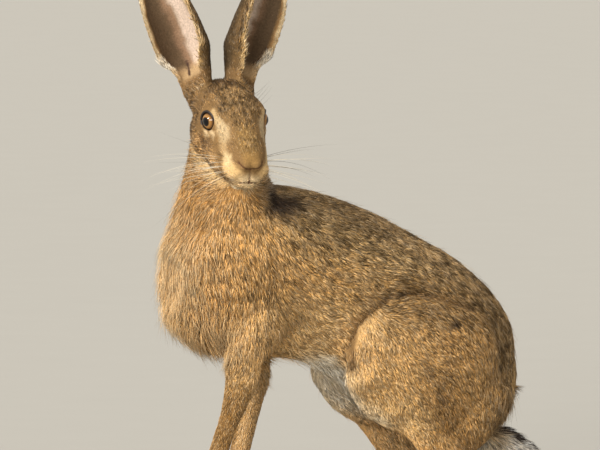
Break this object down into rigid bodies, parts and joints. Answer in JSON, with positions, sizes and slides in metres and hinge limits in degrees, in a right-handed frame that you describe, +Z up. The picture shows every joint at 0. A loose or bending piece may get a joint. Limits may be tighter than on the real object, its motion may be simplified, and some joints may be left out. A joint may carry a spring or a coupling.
{
  "type": "brown hare model",
  "caption": "Life-size still model of a brown hare, squatting on its hind legs with the chest raised, ears up and head turned to its left.",
  "frame": {"origin": "middle of the bounding box seen from above, on the floor under the feet", "axes": "+Z up; the body faces -X and its left side is -Y; the head is turned to face about -Y"},
  "size_m": [0.3854, 0.1732, 0.4811],
  "materials": {
    "fur": "soft dense fur, ticked brown and buff",
    "eye": "wet gloss, amber iris with a dark pupil",
    "nose": "bare moist skin, dark brown",
    "claw": "smooth dark horn"
  },
  "bodies": {
    "root": {"head": "fur", "neck": "fur", "torso": "fur", "tail": "fur", "ear_left": "fur", "ear_right": "fur", "eye_left": "eye", "eye_right": "eye", "fore_leg_left": "fur", "fore_leg_right": "fur", "fore_paw_left": "fur", "fore_paw_right": "fur", "hind_leg_left": "fur", "hind_leg_right": "fur", "hind_foot_left": "fur", "hind_foot_right": "fur"}
  },
  "joints": []
}
